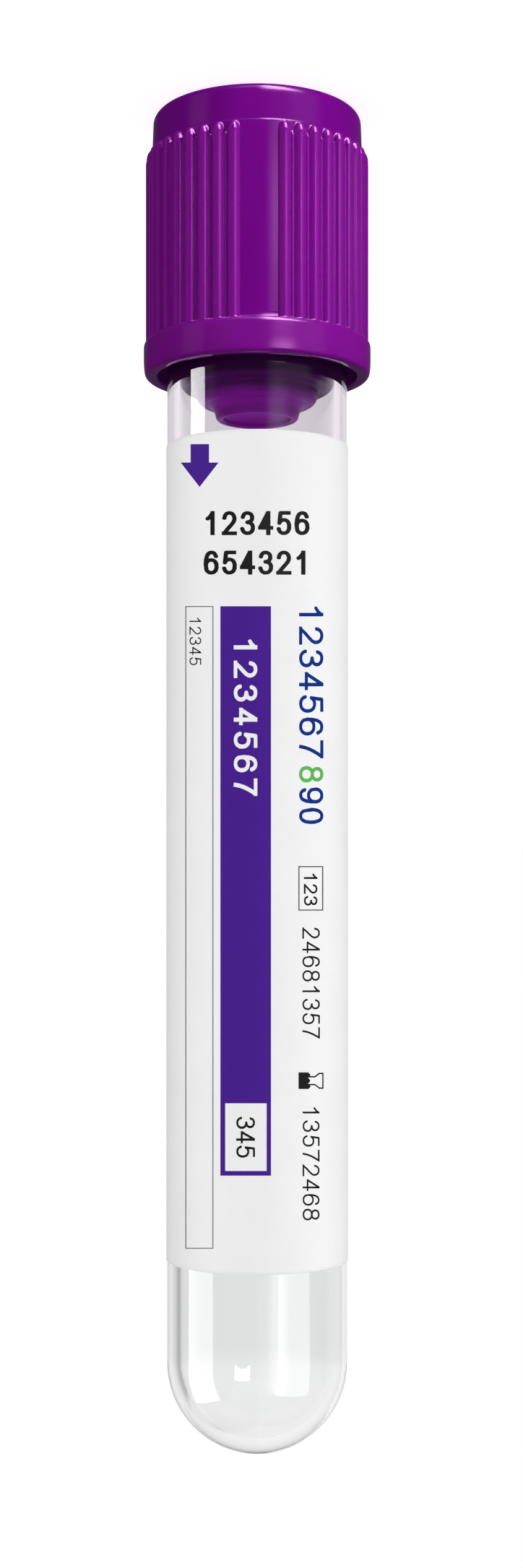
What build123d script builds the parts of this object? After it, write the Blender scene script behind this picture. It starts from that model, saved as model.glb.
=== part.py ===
from build123d import *
import math
import os

os.makedirs("parts", exist_ok=True)

# Capped blood collection tube standing on the flat top of its cap, round
# bottom up, as such a tube stands when nothing holds it.
# Millimetres, +Z up. The origin is on the surface it stands on, at the centre
# of the cap's top. Every piece is first drawn about its own axis, with s = 0
# at the tip of the round bottom and s rising towards the cap, and is then
# turned over, so that Z = CAP_TOP - s. The printed front faces -Y.

# ---- driving dimensions -------------------------------------------------
# tube
TUBE_R = 6.5             # outside radius, a 13 mm tube
BORE_R = 5.6             # inside radius, 0.9 mm wall
TUBE_LEN = 90.5          # tip to mouth
BOTTOM_FLAT_R = 1.4      # small flat left by the gate at the tip
GATE_R = 1.0             # shallow gate recess in that flat
GATE_DEEP = 0.1
BOTTOM_THICK = 1.0       # wall at the bottom, slightly thicker than the side
INNER_DIMPLE_R = 1.3     # core pin mark on the inside of the bottom
INNER_DIMPLE_DEEP = 0.04
MOUTH_ROUND = 0.3

# label
LABEL_S0 = 13.9
LABEL_S1 = 72.6
LABEL_THICK = 0.06
LABEL_GAP = 0.01         # adhesive film between tube and label
LABEL_SLIT = 3.0         # strip left bare at the back, along the arc

# cap
COLLAR_S0 = 77.6
COLLAR_S1 = 80.15
COLLAR_R = 8.2
COLLAR_ROUND = 0.5
BODY_R = 7.62            # plain surface between the ribs
RIB_OUT_R = 8.05         # crest of the ribs
RIB_HALF = 0.46          # half width of a rib, which is its cross radius
RIB_S1 = 93.72           # top of the ribs
FINE_HALF = 0.16         # fine ridge between two ribs
FINE_OUT_R = 7.76
FINE_S1 = 92.97
RIB_FIRST = 13.4         # degrees from the middle of a plain strip to its first rib
RIBS_IN_GROUP = 12
RIB_GROUPS = 3           # groups of ribs, with a plain strip between groups
RIB_PITCH = (360 / RIB_GROUPS - 2 * RIB_FIRST) / (RIBS_IN_GROUP - 1)     # degrees
STRIP_TURN = 1.07        # degrees, the first plain strip is turned this far from straight up
TOP_R0 = 7.56            # smooth top band, at the ribs
TOP_R1 = 7.53            # and at the top edge
CAP_TOP = 96.4
TOP_ROUND = 0.3
SKIRT_R = 7.2            # inside of the collar
SKIRT_S = 79.0           # where that wide mouth ends
GUIDE_R = 6.72           # inside of the skirt above it
POCKET_R = 6.9           # pocket for the head of the stopper
HEAD_S0 = 90.55          # underside of the stopper's head, just off the tube's mouth
HEAD_S1 = 93.4           # top of the stopper's head, under the cap's web
WELL_R = 3.9             # needle well through the cap's top
WELL_MOUTH_R = 4.5
TOP_RIM_R = 6.1          # the top face is let down a little inside this radius
TOP_SINK = 0.35
KEY_N = 12               # keys inside the skirt that centre the tube
KEY_WIDE = 0.5
KEY_IN_R = 6.6
KEY_S0 = 79.6
KEY_S1 = 90.0

# stopper
PLUG_R = 5.57            # runs in the bore with 0.03 mm of clearance
PLUG_S0 = 76.65
MID_R = 4.37
NOSE_R = 3.05
NOSE_S0 = 74.5
RECESS_S1 = 75.3         # shallow dish in the nose
HEAD_R = 6.85
BOSS_R = 3.8             # stands up into the needle well
BOSS_S1 = 94.1

S_END = 6.5 - (TUBE_R - math.sqrt(TUBE_R ** 2 - BOTTOM_FLAT_R ** 2))   # centre of the round end


def solid(shape):
    """One plain solid out of whatever the operations return."""
    found = shape.solids()
    assert len(found) == 1, len(found)
    return found[0]


def turned(points_and_arcs):
    """Revolve a closed outline given in (radius, s) about the s axis."""
    with BuildPart() as p:
        with BuildSketch(Plane.XZ):
            with BuildLine():
                for item in points_and_arcs:
                    item()
            make_face()
        revolve(axis=Axis.Z, revolution_arc=360)
    return p.part


# ---- tube ---------------------------------------------------------------
def make_tube():
    inner_c = BOTTOM_THICK + BORE_R            # centre of the inner round end
    a = math.radians(45)
    flat_s = 0.0
    rim = TUBE_LEN
    m = MOUTH_ROUND
    with BuildPart() as p:
        with BuildSketch(Plane.XZ):
            with BuildLine():
                Line((0, GATE_DEEP), (GATE_R, GATE_DEEP))
                Line((GATE_R, GATE_DEEP), (GATE_R + 0.1, flat_s))
                Line((GATE_R + 0.1, flat_s), (BOTTOM_FLAT_R, flat_s))
                half = (math.radians(-90) + math.asin(BOTTOM_FLAT_R / TUBE_R)) / 2
                ThreePointArc((BOTTOM_FLAT_R, flat_s),
                              (TUBE_R * math.cos(half), S_END + TUBE_R * math.sin(half)),
                              (TUBE_R, S_END))
                Line((TUBE_R, S_END), (TUBE_R, rim - m))
                ThreePointArc((TUBE_R, rim - m),
                              (TUBE_R - m * (1 - math.cos(a)), rim - m * (1 - math.sin(a))),
                              (TUBE_R - m, rim))
                Line((TUBE_R - m, rim), (BORE_R + m, rim))
                ThreePointArc((BORE_R + m, rim),
                              (BORE_R + m * (1 - math.cos(a)), rim - m * (1 - math.sin(a))),
                              (BORE_R, rim - m))
                Line((BORE_R, rim - m), (BORE_R, inner_c))
                low = -math.acos(INNER_DIMPLE_R / BORE_R)
                ThreePointArc((BORE_R, inner_c),
                              (BORE_R * math.cos(low / 2), inner_c + BORE_R * math.sin(low / 2)),
                              (INNER_DIMPLE_R, inner_c + BORE_R * math.sin(low)))
                Line((INNER_DIMPLE_R, inner_c + BORE_R * math.sin(low)),
                     (INNER_DIMPLE_R - 0.1, BOTTOM_THICK - INNER_DIMPLE_DEEP))
                Line((INNER_DIMPLE_R - 0.1, BOTTOM_THICK - INNER_DIMPLE_DEEP),
                     (0, BOTTOM_THICK - INNER_DIMPLE_DEEP))
                Line((0, BOTTOM_THICK - INNER_DIMPLE_DEEP), (0, GATE_DEEP))
            make_face()
        revolve(axis=Axis.Z, revolution_arc=360)
    return solid(p.part)


# ---- label --------------------------------------------------------------
def make_label():
    r0 = TUBE_R + LABEL_GAP
    r1 = r0 + LABEL_THICK
    arc = 360.0 - math.degrees(LABEL_SLIT / r1)
    with BuildPart() as p:
        with BuildSketch(Plane.XZ):
            with Locations((0.5 * (r0 + r1), 0.5 * (LABEL_S0 + LABEL_S1))):
                Rectangle(r1 - r0, LABEL_S1 - LABEL_S0)
        revolve(axis=Axis.Z, revolution_arc=arc)
    # the slit faces away from the front, which is -Y while the piece is upright
    return solid(p.part.rotate(Axis.Z, 90 + 0.5 * (360.0 - arc)))


# ---- cap ----------------------------------------------------------------
def capsule(r_axis, half, s0, s1, angle):
    """Round-ended ridge along the s axis, at an angle counted from the front."""
    c = Cylinder(half, s1 - half - s0, align=(Align.CENTER, Align.CENTER, Align.MIN))
    c = Pos(r_axis, 0, s0) * c
    end = Pos(r_axis, 0, s1 - half) * Sphere(half)
    return (c + end).rotate(Axis.Z, angle - 90)


def make_cap():
    w = TOP_ROUND
    q = 0.7071
    outline = [
        # outside, from the mouth of the skirt up to the top
        lambda: Line((SKIRT_R + 0.25, COLLAR_S0), (COLLAR_R - COLLAR_ROUND, COLLAR_S0)),
        lambda: ThreePointArc((COLLAR_R - COLLAR_ROUND, COLLAR_S0),
                              (COLLAR_R - COLLAR_ROUND * (1 - q), COLLAR_S0 + COLLAR_ROUND * (1 - q)),
                              (COLLAR_R, COLLAR_S0 + COLLAR_ROUND)),
        lambda: Line((COLLAR_R, COLLAR_S0 + COLLAR_ROUND), (COLLAR_R, COLLAR_S1 - 0.45)),
        lambda: ThreePointArc((COLLAR_R, COLLAR_S1 - 0.45),
                              (COLLAR_R - 0.45 * (1 - q), COLLAR_S1 - 0.45 * (1 - q)),
                              (COLLAR_R - 0.45, COLLAR_S1)),
        lambda: Line((COLLAR_R - 0.45, COLLAR_S1), (BODY_R, COLLAR_S1)),
        lambda: Line((BODY_R, COLLAR_S1), (BODY_R, RIB_S1 - 0.05)),
        lambda: Line((BODY_R, RIB_S1 - 0.05), (TOP_R0, RIB_S1)),
        lambda: Line((TOP_R0, RIB_S1), (TOP_R1, CAP_TOP - w)),
        lambda: ThreePointArc((TOP_R1, CAP_TOP - w),
                              (TOP_R1 - w * (1 - q), CAP_TOP - w * (1 - q)),
                              (TOP_R1 - w, CAP_TOP)),
        # top face, let down inside the rim, and the needle well
        lambda: Line((TOP_R1 - w, CAP_TOP), (TOP_RIM_R + 0.2, CAP_TOP)),
        lambda: Line((TOP_RIM_R + 0.2, CAP_TOP), (TOP_RIM_R, CAP_TOP - TOP_SINK)),
        lambda: Line((TOP_RIM_R, CAP_TOP - TOP_SINK), (WELL_MOUTH_R, CAP_TOP - TOP_SINK)),
        lambda: Line((WELL_MOUTH_R, CAP_TOP - TOP_SINK), (WELL_R, CAP_TOP - TOP_SINK - 0.8)),
        lambda: Line((WELL_R, CAP_TOP - TOP_SINK - 0.8), (WELL_R, HEAD_S1)),
        # inside: pocket for the stopper's head, guide bore, wide mouth
        lambda: Line((WELL_R, HEAD_S1), (POCKET_R, HEAD_S1)),
        lambda: Line((POCKET_R, HEAD_S1), (POCKET_R, HEAD_S0 - 0.05)),
        lambda: Line((POCKET_R, HEAD_S0 - 0.05), (GUIDE_R, HEAD_S0 - 0.25)),
        lambda: Line((GUIDE_R, HEAD_S0 - 0.25), (GUIDE_R, SKIRT_S + 0.4)),
        lambda: Line((GUIDE_R, SKIRT_S + 0.4), (SKIRT_R, SKIRT_S)),
        lambda: Line((SKIRT_R, SKIRT_S), (SKIRT_R, COLLAR_S0 + 0.25)),
        lambda: Line((SKIRT_R, COLLAR_S0 + 0.25), (SKIRT_R + 0.25, COLLAR_S0)),
    ]
    body = turned(outline)
    ridges = []
    group_turn = 360.0 / RIB_GROUPS
    for g in range(RIB_GROUPS):
        for k in range(RIBS_IN_GROUP):
            a = STRIP_TURN + g * group_turn + RIB_FIRST + k * RIB_PITCH
            ridges.append(capsule(RIB_OUT_R - RIB_HALF, RIB_HALF, COLLAR_S1 - 0.2, RIB_S1, a))
            if k < RIBS_IN_GROUP - 1:
                ridges.append(capsule(FINE_OUT_R - FINE_HALF, FINE_HALF,
                                      COLLAR_S1 - 0.2, FINE_S1, a + RIB_PITCH / 2))
    for k in range(KEY_N):
        key = Box(GUIDE_R + 0.15 - KEY_IN_R, KEY_WIDE, KEY_S1 - KEY_S0,
                  align=(Align.MIN, Align.CENTER, Align.MIN))
        ridges.append((Pos(KEY_IN_R, 0, KEY_S0) * key).rotate(Axis.Z, (k + 0.5) * 360.0 / KEY_N))
    return solid(body.fuse(*ridges))


# ---- stopper ------------------------------------------------------------
def make_stopper():
    outline = [
        lambda: Line((0, RECESS_S1), (1.5, RECESS_S1)),
        lambda: Line((1.5, RECESS_S1), (2.1, RECESS_S1 - 0.2)),
        lambda: Line((2.1, RECESS_S1 - 0.2), (NOSE_R - 0.63, NOSE_S0 + 0.28)),
        lambda: ThreePointArc((NOSE_R - 0.63, NOSE_S0 + 0.28), (NOSE_R - 0.35, NOSE_S0),
                              (NOSE_R - 0.07, NOSE_S0 + 0.28)),
        lambda: ThreePointArc((NOSE_R - 0.07, NOSE_S0 + 0.28), (3.2, 75.25), (3.63, 75.6)),
        lambda: ThreePointArc((3.63, 75.6), (4.17, 75.86), (MID_R, 76.4)),
        lambda: Line((MID_R, 76.4), (MID_R, PLUG_S0)),
        lambda: Line((MID_R, PLUG_S0), (PLUG_R - 0.35, PLUG_S0)),
        lambda: ThreePointArc((PLUG_R - 0.35, PLUG_S0), (PLUG_R - 0.1, PLUG_S0 + 0.1),
                              (PLUG_R, PLUG_S0 + 0.35)),
        lambda: Line((PLUG_R, PLUG_S0 + 0.35), (PLUG_R, HEAD_S0)),
        lambda: Line((PLUG_R, HEAD_S0), (HEAD_R - 0.25, HEAD_S0)),
        lambda: Line((HEAD_R - 0.25, HEAD_S0), (HEAD_R, HEAD_S0 + 0.25)),
        lambda: Line((HEAD_R, HEAD_S0 + 0.25), (HEAD_R, HEAD_S1)),
        lambda: Line((HEAD_R, HEAD_S1), (BOSS_R, HEAD_S1)),
        lambda: Line((BOSS_R, HEAD_S1), (BOSS_R, BOSS_S1 - 0.3)),
        lambda: ThreePointArc((BOSS_R, BOSS_S1 - 0.3), (BOSS_R - 0.09, BOSS_S1 - 0.09),
                              (BOSS_R - 0.3, BOSS_S1)),
        lambda: Line((BOSS_R - 0.3, BOSS_S1), (2.9, BOSS_S1)),
        lambda: Line((2.9, BOSS_S1), (2.5, BOSS_S1 - 0.4)),           # shallow dish on top
        lambda: Line((2.5, BOSS_S1 - 0.4), (0, BOSS_S1 - 0.4)),
        lambda: Line((0, BOSS_S1 - 0.4), (0, RECESS_S1)),
    ]
    return solid(turned(outline))


# ---- stand it on its cap ------------------------------------------------
def stand(shape):
    return shape.rotate(Axis.Y, 180).translate((0, 0, CAP_TOP))


pieces = {"tube": make_tube(), "label": make_label(), "cap": make_cap(), "stopper": make_stopper()}
for name, piece in pieces.items():
    placed = stand(piece)
    placed.label = name
    export_step(placed, os.path.join("parts", name + ".step"))
    b = placed.bounding_box()
    print(name, round(placed.volume, 3),
          [round(v, 3) for v in (b.min.X, b.min.Y, b.min.Z, b.max.X, b.max.Y, b.max.Z)])
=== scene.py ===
import math

import bmesh
import bpy
import numpy as np
from mathutils import Matrix, Vector
from mathutils.geometry import delaunay_2d_cdt


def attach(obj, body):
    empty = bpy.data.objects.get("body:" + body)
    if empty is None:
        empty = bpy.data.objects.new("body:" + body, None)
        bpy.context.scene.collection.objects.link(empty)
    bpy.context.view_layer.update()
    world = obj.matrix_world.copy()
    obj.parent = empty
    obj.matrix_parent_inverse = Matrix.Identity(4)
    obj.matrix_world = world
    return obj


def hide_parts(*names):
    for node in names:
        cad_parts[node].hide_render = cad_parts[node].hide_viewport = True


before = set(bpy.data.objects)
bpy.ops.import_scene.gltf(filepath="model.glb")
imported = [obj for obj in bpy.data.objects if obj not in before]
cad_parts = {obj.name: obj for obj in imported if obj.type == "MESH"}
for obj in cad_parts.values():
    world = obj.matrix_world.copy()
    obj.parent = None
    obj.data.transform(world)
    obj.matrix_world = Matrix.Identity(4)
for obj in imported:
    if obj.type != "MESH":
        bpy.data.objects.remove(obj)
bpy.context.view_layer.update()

# --------------------------------------------------------------------------
# The object stands on its cap. "s" is the distance in mm from the tip of the
# round bottom along the axis, and "th" the angle in radians from the printed
# front, positive towards the image's right. Row frame: Z = TOP - s.
# --------------------------------------------------------------------------
TOP = 96.4
TUBE_R = 6.5
BORE_R = 5.6
TUBE_LEN = 90.5
LABEL_S0, LABEL_S1 = 13.9, 72.6
LABEL_R = 6.57


def row(r, th, s):
    """mm in the tube's own cylinder coordinates -> metres in the row frame."""
    return (-r * math.sin(th) / 1000.0, -r * math.cos(th) / 1000.0, (TOP - s) / 1000.0)


def row_np(r, th, s):
    r, th, s = np.broadcast_arrays(r, th, s)
    return np.stack([-r * np.sin(th), -r * np.cos(th), TOP - s], -1) / 1000.0


def new_object(name, verts, faces, smooth=True):
    me = bpy.data.meshes.new(name)
    me.from_pydata([tuple(map(float, v)) for v in verts], [], faces)
    me.validate()
    bm = bmesh.new()
    bm.from_mesh(me)
    bmesh.ops.remove_doubles(bm, verts=bm.verts, dist=1e-8)
    bmesh.ops.recalc_face_normals(bm, faces=bm.faces)
    bm.to_mesh(me)
    bm.free()
    me.polygons.foreach_set("use_smooth", [smooth] * len(me.polygons))
    ob = bpy.data.objects.new(name, me)
    bpy.context.scene.collection.objects.link(ob)
    return ob


def arc(cx, cy, r, a0, a1, n):
    """Points on an arc in (r, s), angles in degrees."""
    t = np.radians(np.linspace(a0, a1, n))
    return [(cx + r * math.cos(x), cy + r * math.sin(x)) for x in t]


def lathe(name, profile, n=192, closed=True):
    """Turn a closed outline in (r, s). Points on the axis become one vertex."""
    verts, rings = [], []
    for r, s in profile:
        if r < 1e-6:
            rings.append([len(verts)])
            verts.append(row(0.0, 0.0, s))
        else:
            ring = []
            for k in range(n):
                ring.append(len(verts))
                verts.append(row(r, 2 * math.pi * k / n, s))
            rings.append(ring)
    faces = []
    m = len(rings)
    for i in range(m if closed else m - 1):
        a, b = rings[i], rings[(i + 1) % m]
        if len(a) == 1 and len(b) == 1:
            continue
        for k in range(n):
            k2 = (k + 1) % n
            if len(a) == 1:
                faces.append((a[0], b[k], b[k2]))
            elif len(b) == 1:
                faces.append((a[k], a[k2], b[0]))
            else:
                faces.append((a[k], a[k2], b[k2], b[k]))
    return new_object(name, verts, faces)


# --------------------------------------------------------------------------
# materials
# --------------------------------------------------------------------------
def material(name):
    mat = bpy.data.materials.new(name)
    mat.use_nodes = True
    nt = mat.node_tree
    nt.nodes.clear()
    out = nt.nodes.new("ShaderNodeOutputMaterial")
    bsdf = nt.nodes.new("ShaderNodeBsdfPrincipled")
    nt.links.new(bsdf.outputs["BSDF"], out.inputs["Surface"])
    return mat, nt, bsdf, out


def coords(nt, scale=(1, 1, 1)):
    tc = nt.nodes.new("ShaderNodeTexCoord")
    mp = nt.nodes.new("ShaderNodeMapping")
    mp.inputs["Scale"].default_value = scale
    nt.links.new(tc.outputs["Object"], mp.inputs["Vector"])
    return mp.outputs["Vector"]


def noise(nt, vec, scale, detail=3.0, rough=0.55):
    n = nt.nodes.new("ShaderNodeTexNoise")
    n.inputs["Scale"].default_value = scale
    n.inputs["Detail"].default_value = detail
    n.inputs["Roughness"].default_value = rough
    nt.links.new(vec, n.inputs["Vector"])
    return n.outputs["Fac"]


def ramp(nt, fac, lo, hi, out_lo, out_hi):
    m = nt.nodes.new("ShaderNodeMapRange")
    m.inputs["From Min"].default_value = lo
    m.inputs["From Max"].default_value = hi
    m.inputs["To Min"].default_value = out_lo
    m.inputs["To Max"].default_value = out_hi
    m.clamp = True
    nt.links.new(fac, m.inputs["Value"])
    return m.outputs["Result"]


def bump(nt, height, strength, distance, target, chain=None):
    b = nt.nodes.new("ShaderNodeBump")
    b.inputs["Strength"].default_value = strength
    b.inputs["Distance"].default_value = distance
    nt.links.new(height, b.inputs["Height"])
    if chain is not None:
        nt.links.new(chain, b.inputs["Normal"])
    if target is not None:
        nt.links.new(b.outputs["Normal"], target.inputs["Normal"])
    return b.outputs["Normal"]


def mix_color(nt, fac, a, b):
    m = nt.nodes.new("ShaderNodeMix")
    m.data_type = "RGBA"
    m.inputs["A"].default_value = (*a, 1)
    m.inputs["B"].default_value = (*b, 1)
    nt.links.new(fac, m.inputs["Factor"])
    return m.outputs["Result"]


def cap_material():
    mat, nt, p, out = material("cap_plastic")
    v = coords(nt)
    flow = noise(nt, coords(nt, (1, 1, 0.25)), 260.0, 3.0)          # faint flow marks of the moulding
    grain = noise(nt, v, 5200.0, 2.0)                                # fine mould texture
    deep = mix_color(nt, ramp(nt, flow, 0.35, 0.65, 0.0, 1.0), (0.138, 0.0014, 0.194), (0.152, 0.0019, 0.214))
    # painted light: the collar and the ribs, where they stand proud, are coloured lighter, standing in for the light
    # they catch
    tc = nt.nodes.new("ShaderNodeTexCoord")
    flat = nt.nodes.new("ShaderNodeVectorMath")
    flat.operation = "MULTIPLY"
    flat.inputs[1].default_value = (1, 1, 0)
    nt.links.new(tc.outputs["Object"], flat.inputs[0])
    length = nt.nodes.new("ShaderNodeVectorMath")
    length.operation = "LENGTH"
    nt.links.new(flat.outputs[0], length.inputs[0])
    proud_painted_light = ramp(nt, length.outputs["Value"], 0.00764, 0.00773, 0.0, 1.0)
    m = nt.nodes.new("ShaderNodeMix")
    m.data_type = "RGBA"
    # the lighter colour of the painted light on the collar and ribs
    m.inputs["B"].default_value = (0.176, 0.0046, 0.228, 1)
    nt.links.new(proud_painted_light, m.inputs["Factor"])
    nt.links.new(deep, m.inputs["A"])
    nt.links.new(m.outputs["Result"], p.inputs["Base Color"])
    nt.links.new(ramp(nt, flow, 0.3, 0.7, 0.11, 0.15), p.inputs["Roughness"])
    p.inputs["Specular Tint"].default_value = (1.0, 0.42, 0.95, 1)
    p.inputs["IOR"].default_value = 1.5
    p.inputs["Specular IOR Level"].default_value = 0.5
    p.inputs["Subsurface Weight"].default_value = 0.7
    p.inputs["Subsurface Radius"].default_value = (1.0, 0.08, 1.1)
    p.inputs["Subsurface Scale"].default_value = 0.0006
    first = bump(nt, grain, 0.05, 0.00001, None)
    bump(nt, flow, 0.05, 0.00004, p, chain=first)
    return mat


def stopper_material():
    mat, nt, p, out = material("stopper_rubber")
    v = coords(nt)
    cloud = noise(nt, v, 420.0, 4.0)
    fine = noise(nt, v, 7000.0, 2.0)
    col = mix_color(nt, ramp(nt, cloud, 0.35, 0.65, 0.0, 1.0), (0.088, 0.0026, 0.124), (0.110, 0.0038, 0.150))
    # painted shade: the plug up under the cap is coloured darker than the nose, standing in for the shade the collar
    # throws on it
    tc = nt.nodes.new("ShaderNodeTexCoord")
    sep = nt.nodes.new("ShaderNodeSeparateXYZ")
    nt.links.new(tc.outputs["Object"], sep.inputs["Vector"])
    deep = nt.nodes.new("ShaderNodeMix")
    deep.data_type = "RGBA"
    nt.links.new(ramp(nt, sep.outputs["Z"], (TOP - 76.7) / 1000, (TOP - 75.35) / 1000, 1.0, 0.0), deep.inputs["Factor"])
    nt.links.new(col, deep.inputs["A"])
    # the dark colour of the painted shade on the plug
    deep.inputs["B"].default_value = (0.024, 0.0004, 0.035, 1)
    nt.links.new(deep.outputs["Result"], p.inputs["Base Color"])
    nt.links.new(ramp(nt, cloud, 0.3, 0.7, 0.34, 0.44), p.inputs["Roughness"])
    p.inputs["IOR"].default_value = 1.5
    p.inputs["Specular IOR Level"].default_value = 0.04
    bump(nt, fine, 0.12, 0.00001, p)
    return mat


def label_material():
    mat, nt, p, out = material("label_paper")
    v = coords(nt)
    fibre = noise(nt, coords(nt, (1, 1, 0.35)), 9000.0, 4.0, 0.6)
    cloud = noise(nt, v, 320.0, 3.0)
    col = mix_color(nt, ramp(nt, cloud, 0.3, 0.7, 0.0, 1.0), (0.885, 0.885, 0.892), (0.905, 0.905, 0.910))
    nt.links.new(col, p.inputs["Base Color"])
    nt.links.new(ramp(nt, fibre, 0.3, 0.7, 0.50, 0.62), p.inputs["Roughness"])
    p.inputs["IOR"].default_value = 1.45
    p.inputs["Specular IOR Level"].default_value = 0.3
    bump(nt, fibre, 0.10, 0.00001, p)
    return mat


def ink_material(name, rgb):
    mat, nt, p, out = material(name)
    v = coords(nt)
    speck = noise(nt, v, 6000.0, 2.0)
    dark = tuple(c * 0.93 for c in rgb)
    col = mix_color(nt, ramp(nt, speck, 0.35, 0.65, 0.0, 1.0), dark, rgb)
    nt.links.new(col, p.inputs["Base Color"])
    nt.links.new(ramp(nt, speck, 0.3, 0.7, 0.46, 0.56), p.inputs["Roughness"])
    p.inputs["IOR"].default_value = 1.45
    p.inputs["Specular IOR Level"].default_value = 0.08
    bump(nt, speck, 0.05, 0.000005, p)
    return mat


def tube_material():
    mat, nt, p, out = material("clear_tube")
    v = coords(nt, (1, 1, 0.12))
    drawn = noise(nt, v, 700.0, 2.0)          # long faint draw lines along the barrel
    p.inputs["Base Color"].default_value = (0.965, 0.968, 0.970, 1)
    p.inputs["Transmission Weight"].default_value = 1.0
    p.inputs["IOR"].default_value = 1.36
    p.inputs["Specular IOR Level"].default_value = 0.3
    nt.links.new(ramp(nt, drawn, 0.3, 0.7, 0.0, 0.02), p.inputs["Roughness"])
    bump(nt, drawn, 0.02, 0.00001, p)
    # light reaches what is inside: a shadow ray passes straight through the wall
    lp = nt.nodes.new("ShaderNodeLightPath")
    clear = nt.nodes.new("ShaderNodeBsdfTransparent")
    clear.inputs["Color"].default_value = (0.95, 0.95, 0.95, 1)
    mix = nt.nodes.new("ShaderNodeMixShader")
    nt.links.new(lp.outputs["Is Shadow Ray"], mix.inputs[0])
    nt.links.new(p.outputs["BSDF"], mix.inputs[1])
    nt.links.new(clear.outputs["BSDF"], mix.inputs[2])
    nt.links.new(mix.outputs[0], out.inputs["Surface"])
    return mat


CAP = cap_material()
STOPPER = stopper_material()
PAPER = label_material()
CLEAR = tube_material()
VIOLET = ink_material("ink_violet", (0.066, 0.0146, 0.276))
BLACK = ink_material("ink_black", (0.012, 0.012, 0.013))
BLUE = ink_material("ink_blue", (0.0035, 0.030, 0.225))
GREEN = ink_material("ink_green", (0.115, 0.485, 0.095))
GREY = ink_material("ink_grey", (0.10, 0.10, 0.105))


INKS = []


def dress(ob, mat, body, node=None):
    ob.data.materials.clear()
    ob.data.materials.append(mat)
    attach(ob, body)
    if node:
        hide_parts(node)
    return ob


# --------------------------------------------------------------------------
# tube: outside, mouth, inside, one closed skin
# --------------------------------------------------------------------------
THICK = 1.0

profile = arc(0.0, TUBE_R, TUBE_R, -90, 0, 64)
profile[0] = (0.0, 0.0)
profile += [(TUBE_R, 6.6 + t) for t in np.linspace(0.4, TUBE_LEN - 6.6 - 0.3, 30)]
profile += arc(TUBE_R - 0.3, TUBE_LEN - 0.3, 0.3, 0, 90, 8)[1:]
profile += arc(BORE_R + 0.3, TUBE_LEN - 0.3, 0.3, 90, 180, 8)
inner_c = THICK + BORE_R
profile += [(BORE_R, inner_c + t) for t in np.linspace(TUBE_LEN - 0.3 - inner_c - 0.5, 0.4, 28)]
profile += arc(0.0, inner_c, BORE_R, 0, -90, 52)
profile[-1] = (0.0, THICK)
tube = lathe("tube_clear", profile, n=224, closed=False)
dress(tube, CLEAR, "tube_body", "tube")

# --------------------------------------------------------------------------
# stopper
# --------------------------------------------------------------------------
PLUG_R = 5.625            # pressed against the bore
sp = [(0.0, 75.25), (1.2, 75.24), (1.75, 75.15), (2.12, 75.0), (2.33, 74.86)]
sp += arc(2.7, 74.8, 0.3, 180, 350, 12)
sp += [(3.04, 74.95), (3.12, 75.15), (3.24, 75.33), (3.40, 75.48), (3.58, 75.58)]
sp += arc(3.72, 76.22, 0.65, 260, 360, 12)
sp += [(4.37, 76.35), (4.37, 76.48)]
sp += [(4.40, 76.58), (4.48, 76.63), (4.6, 76.65)]
sp += arc(PLUG_R - 0.4, 77.05, 0.4, 270, 360, 8)
sp += [(PLUG_R, 79.0), (PLUG_R, 84.0), (PLUG_R, 90.2), (PLUG_R, 90.53), (5.9, 90.56), (6.6, 90.56)]
sp += arc(6.6, 90.8, 0.24, 270, 360, 6)[1:]
sp += [(6.84, 93.1)]
sp += arc(6.6, 93.14, 0.24, 0, 90, 6)
sp += [(3.85, 93.38)]
sp += [(3.80, 93.42), (3.80, 93.8)]
sp += arc(3.5, 93.8, 0.3, 0, 90, 6)[1:]
sp += [(2.95, 94.1)]
sp += arc(2.95, 93.9, 0.2, 90, 160, 5)[1:]
sp += [(2.55, 93.74), (2.3, 93.70), (1.2, 93.66), (0.0, 93.65)]
stopper = lathe("rubber_stopper", sp, n=192, closed=False)
dress(stopper, STOPPER, "closure", "stopper")

# --------------------------------------------------------------------------
# cap: one skin, with the ribs as a height field on the turned outline
# --------------------------------------------------------------------------
BODY_R = 7.62
RIB_HALF, RIB_AXIS_R = 0.46, 7.59
RIB_S1, FINE_S1 = 93.72, 92.97
PITCH, FIRST, RIBS = 93.2 / 11, 13.4, 12
TURN = 1.07

outer = []
outer += [(7.2, 79.0), (7.2, 77.95)]
outer += arc(7.4, 77.8, 0.2, 180, 270, 6)
outer += arc(8.145 - 0.42, 78.02, 0.42, 270, 352, 10)
outer += [(8.2 - 0.094 * (78.75 - q) ** 2, q) for q in (78.02, 78.1, 78.2, 78.3, 78.42, 78.55, 78.65, 78.75)]
outer += [(8.2, 79.1), (8.2, 79.6)]
outer += arc(8.2 - 0.45, 79.7, 0.45, 0, 84, 10)
outer += [(7.70, 80.16), (7.645, 80.19), (7.622, 80.25)]
rib_rows = [80.6, 83.0, 86.0, 89.0, 91.5, 92.5, FINE_S1 - 0.25, FINE_S1 - 0.19, FINE_S1 - 0.13, FINE_S1 - 0.08]
rib_rows += list(RIB_S1 - 0.78 + 0.78 * np.sin(np.radians(np.linspace(5, 88, 13))))
outer += [(BODY_R, s) for s in rib_rows]
outer += [(7.60, RIB_S1 + 0.02), (7.583, RIB_S1 + 0.05), (7.576, RIB_S1 + 0.09), (7.5735, RIB_S1 + 0.14), (7.572, RIB_S1 + 0.20), (7.568, RIB_S1 + 0.30), (7.555, 94.4), (7.53, 95.1), (7.51, 95.6)]
outer += arc(7.50 - 0.6, 95.8, 0.6, 4, 90, 14)
outer += [(6.6, 96.4), (6.32, 96.4)]
outer += arc(6.32, 96.3, 0.1, 90, 170, 4)[1:]
outer += [(6.12, 96.1), (6.05, 96.05), (5.3, 96.05), (4.62, 96.05)]
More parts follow.
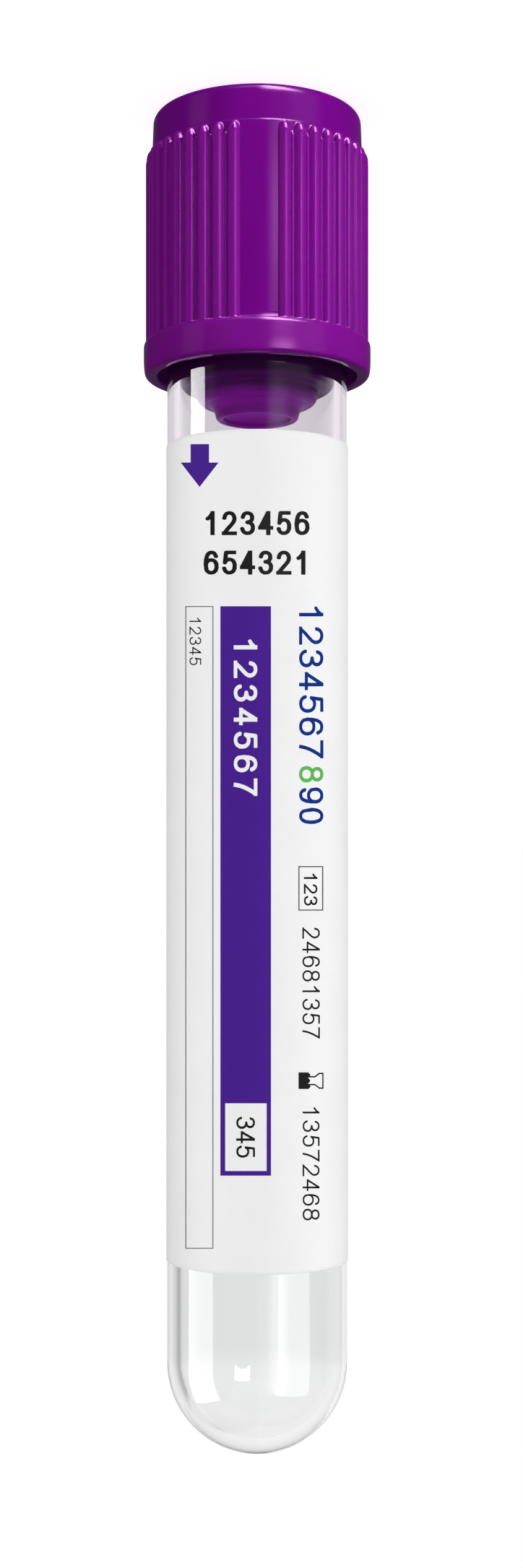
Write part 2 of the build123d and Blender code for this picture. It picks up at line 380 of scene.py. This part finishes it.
outer += arc(4.62, 95.9, 0.15, 90, 150, 4)[1:]
outer += [(4.1, 95.45), (3.93, 95.15), (3.9, 94.9), (3.9, 94.0), (3.9, 93.42)]
outer += [(4.4, 93.42), (6.88, 93.42), (6.9, 93.2), (6.9, 90.6), (6.86, 90.48), (6.72, 90.3), (6.72, 89.5), (6.72, 85.0),
          (6.72, 80.6), (6.72, 79.42), (6.80, 79.35), (7.1, 79.05)]

base_r = np.array([p[0] for p in outer])
base_s = np.array([p[1] for p in outer])

# columns: fine steps over each rib's flanks and over the fine ridge between two ribs
half_pitch_mm = BODY_R * math.radians(PITCH / 2)
rib_x = RIB_HALF * np.sin(np.radians([-90, -84, -75, -62, -48, -32, -16, 0, 16, 32, 48, 62, 75, 84, 90]))
edge_x = np.array([0.470, 0.490, 0.515])
cell = np.concatenate([-edge_x[::-1], rib_x, edge_x, [half_pitch_mm]])
ths, rib_on, lat, fine_lat, fine_on = [], [], [], [], []
for g in range(3):
    for k in range(RIBS):
        c = TURN + 120.0 * g + FIRST + PITCH * k
        for x in cell:
            if k == RIBS - 1 and x > 0.52:
                continue
            ths.append(math.radians(c) + x / BODY_R)
            rib_on.append(True)
            lat.append(x)
            # the fine ridge stands halfway between two ribs of one group
            fine_lat.append(half_pitch_mm - abs(x))
            fine_on.append(k < RIBS - 1 if x > 0 else k > 0)
    # the plain strip up to the next group
    a0 = TURN + 120.0 * g + FIRST + PITCH * (RIBS - 1) + math.degrees(0.52 / BODY_R)
    a1 = TURN + 120.0 * (g + 1) + FIRST - math.degrees(0.52 / BODY_R)
    for a in np.linspace(a0, a1, 12)[1:-1]:
        ths.append(math.radians(a))
        rib_on.append(False)
        lat.append(9.0)
        fine_lat.append(9.0)
        fine_on.append(False)
ths = np.array(ths)
lat, fine_lat = np.array(lat), np.array(fine_lat)
rib_on, fine_on = np.array(rib_on), np.array(fine_on)

R = np.repeat(base_r[:, None], len(ths), 1)
S = np.repeat(base_s[:, None], len(ths), 1)
outside = np.arange(len(outer)) < outer.index((6.6, 96.4))
zone = outside & (base_s > 79.0) & (base_s < 93.7) & (base_r >= 7.6)
for i in np.where(zone)[0]:
    s = base_s[i]
    e = max(0.0, s - (RIB_S1 - 0.78)) * (RIB_HALF / 0.78)
    h2 = RIB_HALF ** 2 - lat ** 2 - e ** 2
    rib = np.where(rib_on & (h2 > 0), RIB_AXIS_R + np.sqrt(np.maximum(h2, 0)), 0)
    ef = max(0.0, s - (FINE_S1 - 0.25)) * (0.12 / 0.25)
    f2 = 0.12 ** 2 - fine_lat ** 2 - ef ** 2
    ridge = np.where(fine_on & (f2 > 0), 7.655 + np.sqrt(np.maximum(f2, 0)), 0)
    R[i] = np.maximum(R[i], np.maximum(rib, ridge))

nrow, ncol = R.shape
P = row_np(R, ths[None, :], S).reshape(-1, 3)
faces = []
for i in range(nrow):
    i2 = (i + 1) % nrow
    for j in range(ncol):
        j2 = (j + 1) % ncol
        faces.append((i * ncol + j, i * ncol + j2, i2 * ncol + j2, i2 * ncol + j))
cap = new_object("ribbed_cap", P, faces)
dress(cap, CAP, "closure", "cap")

# --------------------------------------------------------------------------
# label: a thin shell, not quite all the way round
# --------------------------------------------------------------------------
slit = 3.0 / LABEL_R
n_arc = 240
prof = []
r0, r1 = 6.508, LABEL_R
th_edge = math.pi - slit / 2
ang = np.linspace(-th_edge, th_edge, n_arc + 1)
rows_s = [LABEL_S0, LABEL_S0 + 0.02] + list(np.linspace(LABEL_S0 + 0.3, LABEL_S1 - 0.3, 40)) + [LABEL_S1 - 0.02, LABEL_S1]
sec = [(r0, LABEL_S0)] + [(r1 - 0.02 if (i in (0, len(rows_s) - 1)) else r1, s) for i, s in enumerate(rows_s)] + [(r0, LABEL_S1)]
verts, faces = [], []
for a in ang:
    for r, s in sec:
        verts.append(row(r, a, s))
m = len(sec)
for i in range(n_arc):
    for j in range(m):
        j2 = (j + 1) % m
        faces.append((i * m + j, i * m + j2, (i + 1) * m + j2, (i + 1) * m + j))
faces.append(tuple(range(m)))
faces.append(tuple(n_arc * m + j for j in range(m)))
label = new_object("label_wrap", verts, faces)
label.data.polygons[0].use_smooth = True
for p in label.data.polygons:
    if p.area > 0 and len(p.vertices) > 4:
        p.use_smooth = False
dress(label, PAPER, "tube_body", "label")

# --------------------------------------------------------------------------
# print: thin skins of ink on the label, drawn as outlines in the front view
# --------------------------------------------------------------------------
DIST = 155.6             # camera to axis, mm
CAM_S = 40.95            # the camera is opposite this point of the axis
PX = 19.12               # image pixels per mm at the axis
XC, YC = 356.0, 1225.5
INK_OUT, INK_IN = LABEL_R + 0.006, LABEL_R - 0.012


def arc_mm(px):
    """image x -> distance along the label's arc from the front line, mm"""
    d = (px - XC) / PX
    th = d / (LABEL_R * 1.044)
    for _ in range(12):
        f = DIST * LABEL_R * math.sin(th) / (DIST - LABEL_R * math.cos(th)) - d
        th -= f / (LABEL_R * 1.04)
    return th * LABEL_R


def on_label(px, py):
    """image point -> (arc mm, s mm)"""
    u = arc_mm(px)
    return u, CAM_S + (YC - py) / PX * (DIST - LABEL_R * math.cos(u / LABEL_R)) / DIST


def ink(name, loops, mat, step=0.25):
    """A closed thin skin from closed outlines in image space; an outline inside another is a hole."""
    pts, edges = [], []
    for loop in loops:
        k0 = len(pts)
        for (xa, ya), (xb, yb) in zip(loop, loop[1:] + loop[:1]):
            n = max(1, math.ceil(abs(xb - xa) / 4.0))
            for i in range(n):
                pts.append(on_label(xa + (xb - xa) * i / n, ya + (yb - ya) * i / n))
        edges += [(k, k + 1) for k in range(k0, len(pts) - 1)] + [(len(pts) - 1, k0)]
    vs, _, tris, _, _, _ = delaunay_2d_cdt([Vector(p) for p in pts], edges, [], 0, 1e-6)
    v = np.array([tuple(p) for p in vs])
    tris = np.array([tuple(t) for t in tris])
    mid = v[tris].mean(1)
    a = np.array([pts[i] for i, _ in edges])
    b = np.array([pts[j] for _, j in edges])
    inside = np.zeros(len(mid), bool)
    for k in range(len(a)):
        spans = (a[k, 1] > mid[:, 1]) != (b[k, 1] > mid[:, 1])
        if abs(b[k, 1] - a[k, 1]) < 1e-12:
            continue
        cross = a[k, 0] + (mid[:, 1] - a[k, 1]) * (b[k, 0] - a[k, 0]) / (b[k, 1] - a[k, 1])
        inside ^= spans & (mid[:, 0] < cross)
    bm = bmesh.new()
    bv = [bm.verts.new((x, y, 0)) for x, y in v]
    for t in tris[inside]:
        bm.faces.new([bv[i] for i in t])
    bmesh.ops.delete(bm, geom=[q for q in bm.verts if not q.link_faces], context="VERTS")
    lo, hi = v[:, 0].min(), v[:, 0].max()
    k = math.ceil(lo / step)
    while k * step < hi:
        bmesh.ops.bisect_plane(bm, geom=bm.verts[:] + bm.edges[:] + bm.faces[:], plane_co=(k * step, 0, 0), plane_no=(1, 0, 0))
        k += 1
    bmesh.ops.triangulate(bm, faces=bm.faces[:])
    bmesh.ops.dissolve_degenerate(bm, dist=1e-5, edges=bm.edges[:])
    bm.verts.index_update()
    n = len(bm.verts)
    verts = [row(INK_OUT, q.co.x / LABEL_R, q.co.y) for q in bm.verts]
    verts += [row(INK_IN, q.co.x / LABEL_R, q.co.y) for q in bm.verts]
    faces, rim = [], []
    for f in bm.faces:
        ids = [q.index for q in f.verts]
        faces.append(ids)
        faces.append([i + n for i in reversed(ids)])
        for loop in f.loops:
            if len(loop.edge.link_faces) == 1:
                i, j = loop.vert.index, loop.link_loop_next.vert.index
                faces.append([j, i, i + n, j + n])
                rim += [(i, j), (i + n, j + n)]
    bm.free()
    me = bpy.data.meshes.new(name)
    me.from_pydata(verts, [], faces)
    sharp = {tuple(sorted(e)) for e in rim}
    me.polygons.foreach_set("use_smooth", [True] * len(me.polygons))
    for e in me.edges:
        if tuple(sorted(e.vertices)) in sharp:
            e.use_edge_sharp = True
    bm = bmesh.new()
    bm.from_mesh(me)
    bmesh.ops.recalc_face_normals(bm, faces=bm.faces)
    bm.to_mesh(me)
    bm.free()
    ob = bpy.data.objects.new(name, me)
    bpy.context.scene.collection.objects.link(ob)
    dress(ob, mat, "tube_body")
    INKS.append(ob)
    return ob


def box_loop(x0, y0, x1, y1):
    return [(x0, y0), (x1, y0), (x1, y1), (x0, y1)]


# Digits are pen strokes along centre lines, given in a unit square with y up.
def bez(*p, n=12):
    """chained cubic curves: start, then (control, control, end) again and again"""
    out = [p[0]]
    for i in range(1, len(p), 3):
        a, b, c, d = out[-1], p[i], p[i + 1], p[i + 2]
        for t in np.linspace(0, 1, n + 1)[1:]:
            m = 1 - t
            out.append(tuple(m ** 3 * a[q] + 3 * m * m * t * b[q] + 3 * m * t * t * c[q] + t ** 3 * d[q] for q in (0, 1)))
    return out


def ring(cx, cy, rx, ry, p=0.92, n=48):
    out = []
    for t in np.linspace(0, 2 * math.pi, n + 1):
        c, s = math.cos(t), math.sin(t)
        out.append((cx + rx * math.copysign(abs(c) ** p, c), cy + ry * math.copysign(abs(s) ** p, s)))
    return out


# each stroke: points, start cap, end cap (0 cut off square at the point, 1 square and half a pen further, None round)
SIX = [(ring(0.5, 0.315, 0.5, 0.315), None, None),
       (bez((0.0, 0.34), (0.0, 0.80), (0.16, 1.0), (0.53, 1.0), (0.76, 1.0), (0.90, 0.92), (0.95, 0.77)), None, 0)]
STROKES = {
    "0": [(ring(0.5, 0.5, 0.5, 0.5, 0.86), None, None)],
    "1": [([(0.62, 0.0), (0.62, 1.0)], 1, 1), (bez((0.62, 1.0), (0.52, 0.87), (0.34, 0.76), (0.12, 0.70)), None, 0)],
    "2": [(bez((0.03, 0.70), (0.05, 0.89), (0.22, 1.0), (0.50, 1.0), (0.79, 1.0), (0.97, 0.88), (0.97, 0.71),
               (0.97, 0.47), (0.30, 0.28), (0.06, 0.0)), 0, None), ([(0.0, 0.0), (1.0, 0.0)], 1, 1)],
    "3": [(bez((0.05, 0.75), (0.09, 0.92), (0.25, 1.0), (0.48, 1.0), (0.76, 1.0), (0.93, 0.90), (0.93, 0.765),
               (0.93, 0.62), (0.74, 0.54), (0.40, 0.54)), 0, 0),
          (bez((0.40, 0.54), (0.80, 0.54), (1.0, 0.44), (1.0, 0.28), (1.0, 0.10), (0.78, 0.0), (0.49, 0.0),
               (0.22, 0.0), (0.04, 0.10), (0.0, 0.27)), 0, 0)],
    "4": [([(0.70, 1.0), (0.0, 0.27)], None, None), ([(0.0, 0.27), (1.0, 0.27)], 1, 1), ([(0.74, 0.0), (0.74, 1.0)], 1, 1)],
    "5": [([(0.93, 1.0), (0.20, 1.0)], 1, None), ([(0.20, 1.0), (0.09, 0.50)], None, None),
          (bez((0.09, 0.50), (0.20, 0.62), (0.33, 0.66), (0.50, 0.66), (0.80, 0.66), (1.0, 0.54), (1.0, 0.33),
               (1.0, 0.12), (0.78, 0.0), (0.49, 0.0), (0.22, 0.0), (0.05, 0.10), (0.01, 0.26)), None, 0)],
    "6": SIX,
    "7": [([(0.0, 1.0), (1.0, 1.0)], 1, 1), (bez((1.0, 1.0), (0.66, 0.68), (0.38, 0.34), (0.32, 0.0)), None, 1)],
    "8": [(ring(0.5, 0.775, 0.43, 0.225), None, None), (ring(0.5, 0.275, 0.5, 0.275), None, None)],
    "9": [([(1 - x, 1 - y) for x, y in pts], c0, c1) for pts, c0, c1 in SIX],
}


def glyph(ch, w, h, pen_v, pen_h):
    """Closed outlines of one digit, w by h, with upright strokes pen_v wide and level ones pen_h."""
    k = pen_v / pen_h                       # drawn taller, then pressed flat
    hh, t = h * k, pen_v / 2.0
    n = 44
    cell = w / n
    gx = np.arange(-2, n + 3) * cell
    gy = np.arange(-2, math.ceil(hh / cell) + 3) * cell
    X, Y = np.meshgrid(gx, gy, indexing="ij")
    D = np.full(X.shape, 1e9)
    for pts, c0, c1 in STROKES[ch]:
        P = [(t + x * (w - 2 * t), t + y * (hh - 2 * t)) for x, y in pts]
        d = np.full(X.shape, 1e9)
        for i, ((xa, ya), (xb, yb)) in enumerate(zip(P, P[1:])):
            L = math.hypot(xb - xa, yb - ya)
            if L < 1e-9:
                continue
            ux, uy = (xb - xa) / L, (yb - ya) / L
            q = (X - xa) * ux + (Y - ya) * uy
            side = np.abs((Y - ya) * ux - (X - xa) * uy)
            seg = np.hypot(side, np.maximum(np.maximum(-q, q - L), 0)) - t
            if i == 0 and c0 is not None:
                seg = np.where(q < 0, np.maximum(side - t, -q - t * c0), seg)
            if i == len(P) - 2 and c1 is not None:
                seg = np.where(q > L, np.maximum(side - t, q - L - t * c1), seg)
            d = np.minimum(d, seg)
        D = np.minimum(D, d)
    D = np.where(np.abs(D) < 1e-6, 1e-6, D)
    # walk the zero line cell by cell
    nxt = {}
    cross = {}

    def at(i, j, di, dj):
        key = (i, j, di, dj)
        if key not in cross:
            a, b = D[i, j], D[i + di, j + dj]
            f = a / (a - b)
            cross[key] = (gx[i] + f * di * cell, (gy[j] + f * dj * cell) / k)
        return key
    neg = D < 0
    for i in range(len(gx) - 1):
        for j in range(len(gy) - 1):
            c = (neg[i, j], neg[i + 1, j], neg[i + 1, j + 1], neg[i, j + 1])
            if all(c) or not any(c):
                continue
            e = [at(i, j, 1, 0) if c[0] != c[1] else None, at(i + 1, j, 0, 1) if c[1] != c[2] else None,
                 at(i, j + 1, 1, 0) if c[3] != c[2] else None, at(i, j, 0, 1) if c[0] != c[3] else None]
            hit = [x for x in e if x is not None]
            if len(hit) == 2:
                pairs = [hit]
            else:                           # a saddle: join round the inside corners
                pairs = [[e[0], e[3]], [e[1], e[2]]] if c[0] else [[e[0], e[1]], [e[2], e[3]]]
            for a, b in pairs:
                nxt.setdefault(a, []).append(b)
                nxt.setdefault(b, []).append(a)
    loops, seen = [], set()
    for start in nxt:
        if start in seen:
            continue
        loop, prev, cur = [], None, start
        while cur not in seen:
            seen.add(cur)
            loop.append(cross[cur])
            go = [x for x in nxt[cur] if x != prev and x not in seen]
            prev = cur
            if not go:
                break
            cur = go[0]
        # drop the points that lie on the line between their neighbours
        tol = 0.0022 * h
        keep = list(loop)
        for _ in range(3):
            out, i = [], 0
            while i < len(keep):
                a, b, c = (out[-1] if out else keep[-1]), keep[i], keep[(i + 1) % len(keep)]
                L = math.hypot(c[0] - a[0], c[1] - a[1])
                off = abs((c[0] - a[0]) * (a[1] - b[1]) - (a[0] - b[0]) * (c[1] - a[1])) / max(L, 1e-9)
                if off > tol or L > 0.22 * h:
                    out.append(b)
                i += 1
            keep = out
        if len(keep) > 5:
            loops.append(keep)
    return loops


def digits(text, x0, y0, x1, y1, pen, wide=0.8, turned=False, thin=0.86):
    """Outlines of plain digits spread over an image-space box. turned: read from top to bottom, tops to the right."""
    run, high = ((y1 - y0), (x1 - x0)) if turned else ((x1 - x0), (y1 - y0))
    pitch = run / (len(text) - 1 + wide)
    w = pitch * wide
    out = []
    for k, ch in enumerate(text):
        for loop in glyph(ch, w, high, pen, pen * thin):
            if turned:
                out.append([(x0 + gy, y0 + k * pitch + gx) for gx, gy in loop])
            else:
                out.append([(x0 + k * pitch + gx, y1 - gy) for gx, gy in loop])
    return out


def box_frame(x0, y0, x1, y1, w):
    return [box_loop(x0, y0, x1, y1), box_loop(x0 + w, y0 + w, x1 - w, y1 - w)]


ink("print_arrow", [[(263.9, 614.9), (289.3, 614.9), (289.3, 640.4), (302.6, 640.4), (276.3, 674.2), (250.2, 640.4), (263.9, 640.4)]], VIOLET)

# violet band; its digits and its window are bare paper
ink("print_band", [box_loop(305.1, 839.4, 375.1, 1627.8), box_loop(311.7, 1527.6, 369.1, 1621.3)]
    + digits("1234567", 323.5, 882, 356.3, 1102, 5.8, 0.74, turned=True), VIOLET)
ink("print_window_digits", digits("345", 327.0, 1546, 353.0, 1603, 3.3, 0.86, turned=True), BLACK)

# two lines of digits at the top
ink("print_line_1", digits("123456", 281.8, 707.6, 428.6, 741.0, 6.0, 0.84), BLACK)
ink("print_line_2", digits("654321", 281.8, 762.3, 428.6, 795.7, 6.0, 0.84), BLACK)

# name box with a small number in its corner
ink("print_name_box", box_frame(256.6, 839.2, 295.4, 1728.8, 1.15), GREY)
ink("print_box_digits", digits("12345", 262.3, 853.5, 278.5, 921, 1.75, 0.80, turned=True), BLACK)

# right column
ink("print_blue_digits", digits("1234567", 414.0, 836, 447.6, 1050, 5.0, 0.80, turned=True)
    + digits("90", 414.0, 1090, 447.6, 1141, 5.0, 0.80, turned=True), BLUE)
ink("print_green_digit", digits("8", 414.0, 1060.5, 447.6, 1083.5, 5.0, 1.0, turned=True), GREEN)
ink("print_small_box", box_frame(413.2, 1199.2, 447.4, 1260.7, 1.35), BLACK)
ink("print_small_box_digits", digits("123", 420.7, 1207.5, 439.4, 1254, 2.7, 0.84, turned=True), BLACK)
ink("print_column_1", digits("24681357", 418.6, 1284, 442.8, 1438, 2.6, 0.80, turned=True), BLACK)
ink("print_column_2", digits("13572468", 418.9, 1530.6, 442.3, 1689.8, 2.6, 0.80, turned=True), BLACK)
ink("print_hourglass", [
    [(413.2, 1484.8), (426.6, 1484.8), (429.7, 1488.0), (428.9, 1489.9), (435.6, 1489.9), (441.5, 1485.3), (447.8, 1485.3),
     (447.8, 1507.6), (441.9, 1507.6), (435.6, 1502.6), (429.1, 1502.6), (429.9, 1504.6), (427.0, 1507.8), (413.2, 1507.8)],
    [(426.2, 1491.9), (436.1, 1491.9), (442.3, 1487.2), (446.0, 1487.2), (446.0, 1505.7), (442.5, 1505.7), (436.1, 1500.7),
     (426.2, 1500.7), (428.2, 1498.6), (429.4, 1496.3), (428.2, 1494.0)],
], BLACK)

# --------------------------------------------------------------------------
# floor, light, camera
# --------------------------------------------------------------------------
me = bpy.data.meshes.new("floor")
bm = bmesh.new()
bmesh.ops.create_grid(bm, x_segments=2, y_segments=2, size=3.0)
bm.to_mesh(me)
bm.free()
floor = bpy.data.objects.new("floor", me)
bpy.context.scene.collection.objects.link(floor)
fmat, nt, p, out = material("floor_pale")
v = coords(nt)
cloud = noise(nt, v, 14.0, 3.0)
col = mix_color(nt, ramp(nt, cloud, 0.3, 0.7, 0.0, 1.0), (0.86, 0.86, 0.865), (0.89, 0.89, 0.893))
nt.links.new(col, p.inputs["Base Color"])
p.inputs["Roughness"].default_value = 0.7
p.inputs["Specular IOR Level"].default_value = 0.1
p.inputs["Emission Color"].default_value = (1, 1, 1, 1)
p.inputs["Emission Strength"].default_value = 0.80
bump(nt, noise(nt, v, 900.0, 2.0), 0.05, 0.0001, p)
floor.data.materials.append(fmat)
floor.visible_glossy = False
floor.visible_diffuse = False
floor.visible_transmission = False
floor.visible_shadow = False

scene = bpy.context.scene
scene.view_settings.view_transform = "Standard"
scene.view_settings.look = "None"
scene.view_settings.exposure = 0.0
scene.view_settings.gamma = 1.0

# The studio is a function of direction. az: 0 on the camera's side, positive to
# the image's right, 180 behind the object. el: positive to the image's top.
world = bpy.data.worlds.new("studio")
scene.world = world
world.use_nodes = True
nt = world.node_tree
nt.nodes.clear()


def mth(op, a, b=None):
    n = nt.nodes.new("ShaderNodeMath")
    n.operation = op
    for i, x in enumerate((a, b)):
        if x is None:
            continue
        if isinstance(x, (int, float)):
            n.inputs[i].default_value = x
        else:
            nt.links.new(x, n.inputs[i])
    return n.outputs[0]


def step(v, a, b, lo=0.0, hi=1.0):
    n = nt.nodes.new("ShaderNodeMapRange")
    n.interpolation_type = "SMOOTHSTEP"
    n.inputs["From Min"].default_value = a
    n.inputs["From Max"].default_value = b
    n.inputs["To Min"].default_value = lo
    n.inputs["To Max"].default_value = hi
    nt.links.new(v, n.inputs["Value"])
    return n.outputs["Result"]


def window(v, a0, a1, b0, b1):
    return mth("MULTIPLY", step(v, a0, a1), step(v, b0, b1, 1.0, 0.0))


def add(*xs):
    t = xs[0]
    for x in xs[1:]:
        t = mth("ADD", t, x)
    return t


wout = nt.nodes.new("ShaderNodeOutputWorld")
tc = nt.nodes.new("ShaderNodeTexCoord")
sep = nt.nodes.new("ShaderNodeSeparateXYZ")
nt.links.new(tc.outputs["Generated"], sep.inputs["Vector"])
nx = mth("MULTIPLY", sep.outputs["X"], -1.0)
ny = mth("MULTIPLY", sep.outputs["Y"], -1.0)
nz = mth("MULTIPLY", sep.outputs["Z"], -1.0)
az = mth("MULTIPLY", mth("ARCTAN2", nx, ny), 57.29578)
el = mth("MULTIPLY", mth("ARCSINE", nz), 57.29578)
az_abs = mth("ABSOLUTE", az)

# what mirror-like reflections see
gloss_env = add(
    0.015,
    mth("MULTIPLY", step(az_abs, 138, 165), 0.05),
    mth("MULTIPLY", window(az, 8, 24, 28, 44),
        add(mth("MULTIPLY", window(el, -34, -22, 20, 25), 0.5),
            mth("MULTIPLY", window(el, -34, -22, 12.0, 13.7), 1.7),
            mth("MULTIPLY", window(el, -34, -22, 1, 10), 3.2),
            mth("MULTIPLY", window(el, 15.4, 16.8, 18.2, 19.3), 4.8))),
    mth("MULTIPLY", mth("MULTIPLY", window(az, 28, 44, 62, 78), window(el, -34, -22, 28, 44)), 0.45),
    mth("MULTIPLY", mth("MULTIPLY", window(az, -86, -72, -62, -50), window(el, -34, -22, 28, 44)), 0.30),
    mth("MULTIPLY", mth("MULTIPLY", window(az, 0, 20, 38, 62), window(el, 27, 38, 72, 86)), 20.0),
    mth("MULTIPLY", mth("MULTIPLY", window(az, -60, -20, 60, 100), window(el, 48, 58, 78, 88)), 1.5),
)
# what is seen through the clear tube
upper = step(el, -2, 8)
right = step(az, -20, 20)
low_left = add(step(az_abs, 96, 128, 0.38, 0.40), step(az_abs, 130, 158, 0.0, 0.44))
low_right = add(step(az_abs, 96, 120, 0.50, 0.84), step(az_abs, 120, 156, 0.0, 0.02))
high = add(step(az_abs, 96, 124, 0.50, 0.97), step(az_abs, 146, 162, 0.0, -0.24))
rear = step(az_abs, 48, 84, 0.42, 0.0)
through_env = mth("MAXIMUM",
                  add(rear, mth("MULTIPLY", upper, high),
                      mth("MULTIPLY", mth("SUBTRACT", 1.0, upper),
                          mth("MULTIPLY", add(mth("MULTIPLY", right, low_right), mth("MULTIPLY", mth("SUBTRACT", 1.0, right), low_left)),
                              step(el, -13.6, -11.9, 1.14, 1.03)))),
                  mth("MULTIPLY", step(el, -34, -18, 0.88, 0.0),
                      mth("MULTIPLY", step(el, -62, -42, 0.62, 1.0), step(az_abs, 55, 125, 0.22, 1.0))))
pink = step(el, 2, 8)
# soft all-round light
soft_env = mth("MULTIPLY", step(az_abs, 60, 150, 0.30, 0.38), 1.0)

lp = nt.nodes.new("ShaderNodeLightPath")


def pick(flag, yes, no):
    n = nt.nodes.new("ShaderNodeMix")
    n.data_type = "FLOAT"
    nt.links.new(flag, n.inputs["Factor"])
    for name, x in (("A", no), ("B", yes)):
        if isinstance(x, (int, float)):
            n.inputs[name].default_value = x
        else:
            nt.links.new(x, n.inputs[name])
    return n.outputs["Result"]


strength = pick(lp.outputs["Is Glossy Ray"], gloss_env, soft_env)
# a ray that has been mirrored inside the glass and comes back out towards its
# start sees a dark room, so the clear wall puts no veil over what is behind it
mirrored = mth("MINIMUM", lp.outputs["Glossy Depth"], 1.0)
through_env = mth("MULTIPLY", through_env,
                  mth("SUBTRACT", 1.0, mth("MULTIPLY", mirrored, step(az_abs, 88, 124, 0.95, 0.0))))
strength = pick(lp.outputs["Is Transmission Ray"], through_env, strength)
strength = pick(lp.outputs["Is Camera Ray"], 1.0, strength)
bg = nt.nodes.new("ShaderNodeBackground")
tint = nt.nodes.new("ShaderNodeMix")
tint.data_type = "RGBA"
tint.inputs["A"].default_value = (1, 1, 1, 1)
tint.inputs["B"].default_value = (1.0, 0.92, 1.0, 1)
nt.links.new(mth("MULTIPLY", pink, lp.outputs["Is Transmission Ray"]), tint.inputs["Factor"])
nt.links.new(tint.outputs["Result"], bg.inputs["Color"])
nt.links.new(strength, bg.inputs["Strength"])
nt.links.new(bg.outputs[0], wout.inputs["Surface"])


def photo_point(right, up, near):
    """mm from the axis point opposite the camera: image right, image up, towards the camera -> row frame, metres."""
    return Vector((-right / 1000.0, -near / 1000.0, (TOP - CAM_S - up) / 1000.0))


def receivers(name, obs):
    c = bpy.data.collections.new(name)
    for o in obs:
        c.objects.link(o)
    return c


FOR_CAP = receivers("lit_cap", [cap])
FOR_STOPPER = receivers("lit_stopper", [stopper])
FOR_PAPER = receivers("lit_paper", [label] + INKS)
FOR_TUBE = receivers("lit_tube", [tube])


def softbox(name, az, el, dist, width, height, radiance, only=None, aim=(0, 0, 0), glossy=False):
    a, e = math.radians(az), math.radians(el)
    right, up, near = dist * math.sin(a) * math.cos(e), dist * math.sin(e), dist * math.cos(a) * math.cos(e)
    la = bpy.data.lights.new(name, "AREA")
    la.shape = "RECTANGLE"
    la.size, la.size_y = width / 1000.0, height / 1000.0
    la.energy = radiance * math.pi * la.size * la.size_y          # a Lambertian panel of that radiance
    ob = bpy.data.objects.new(name, la)
    scene.collection.objects.link(ob)
    ob.location = photo_point(right + aim[0], up + aim[1], near + aim[2])
    look = photo_point(*aim) - ob.location
    z = -look.normalized()
    x = Vector((0, 0, 1)).cross(z)
    x = x.normalized() if x.length > 1e-6 else Vector((1, 0, 0))
    y = z.cross(x)
    ob.matrix_world = Matrix.Translation(ob.location) @ Matrix((x, y, z)).transposed().to_4x4()
    ob.visible_camera = False
    ob.visible_glossy = glossy
    ob.visible_transmission = False
    if only is not None:
        ob.light_linking.receiver_collection = only
    return ob


# light on the closure: the main panel to the upper right, a weaker one on the left
softbox("cap_key", 50, 24, 500, 300, 260, 12.5, only=FOR_CAP, aim=(0, 40, 0))
softbox("cap_left", -30, 10, 500, 200, 300, 5.6, only=FOR_CAP, aim=(0, 40, 0))
softbox("nose_front", 10, -10, 420, 240, 160, 1.3, only=FOR_STOPPER, aim=(0, 34, 0))
softbox("nose_axial", 0, -89.5, 420, 60, 60, 190.0, only=FOR_STOPPER, aim=(0, 34, 0))
# light on the label: broad and nearly even
softbox("paper_front", 22, 0, 520, 420, 700, 2.0, only=FOR_PAPER)
softbox("paper_left", -75, 0, 520, 320, 700, 2.4, only=FOR_PAPER)
softbox("paper_right", 85, 0, 520, 260, 700, 2.0, only=FOR_PAPER)
softbox("paper_back", 178, 0, 520, 380, 700, 2.2, only=FOR_PAPER)
softbox("cap_back", 180, 12, 500, 300, 300, 5.0, only=FOR_CAP, aim=(0, 40, 0))
# seen only in the mirror of the clear wall: a bright strip, the room behind, and a small window
softbox("tube_strip", -81, 24, 420, 165, 330, 20.0, only=FOR_TUBE, glossy=True)
softbox("tube_low_strip", -77, -22, 420, 290, 300, 7.0, only=FOR_TUBE, glossy=True)
softbox("tube_low_right", 48, -18, 420, 320, 280, 4.8, only=FOR_TUBE, glossy=True)
softbox("tube_back_left", -158, 0, 520, 380, 700, 0.6, only=FOR_TUBE, glossy=True)
softbox("tube_back_right", 158, 0, 520, 380, 700, 0.9, only=FOR_TUBE, glossy=True)
softbox("tube_window", -18.6, -13.0, 420, 140, 8.0, 22.0, only=FOR_TUBE, aim=(0, -34, 0), glossy=True)


cam_data = bpy.data.cameras.new("camera")
cam = bpy.data.objects.new("camera", cam_data)
scene.collection.objects.link(cam)
cam_data.sensor_fit = "AUTO"
cam_data.sensor_width = 36.0
cam_data.lens = DIST * PX / 2171.0 * 36.0
cam_data.shift_x = (362.0 - XC) / 2171.0
cam_data.shift_y = (YC - 1085.5) / 2171.0
cam_data.clip_start, cam_data.clip_end = 0.005, 50.0
x, y, z = Vector((-1, 0, 0)), Vector((0, 0, -1)), Vector((0, -1, 0))
cam.matrix_world = Matrix.Translation(photo_point(0, 0, DIST)) @ Matrix((x, y, z)).transposed().to_4x4()
scene.camera = cam
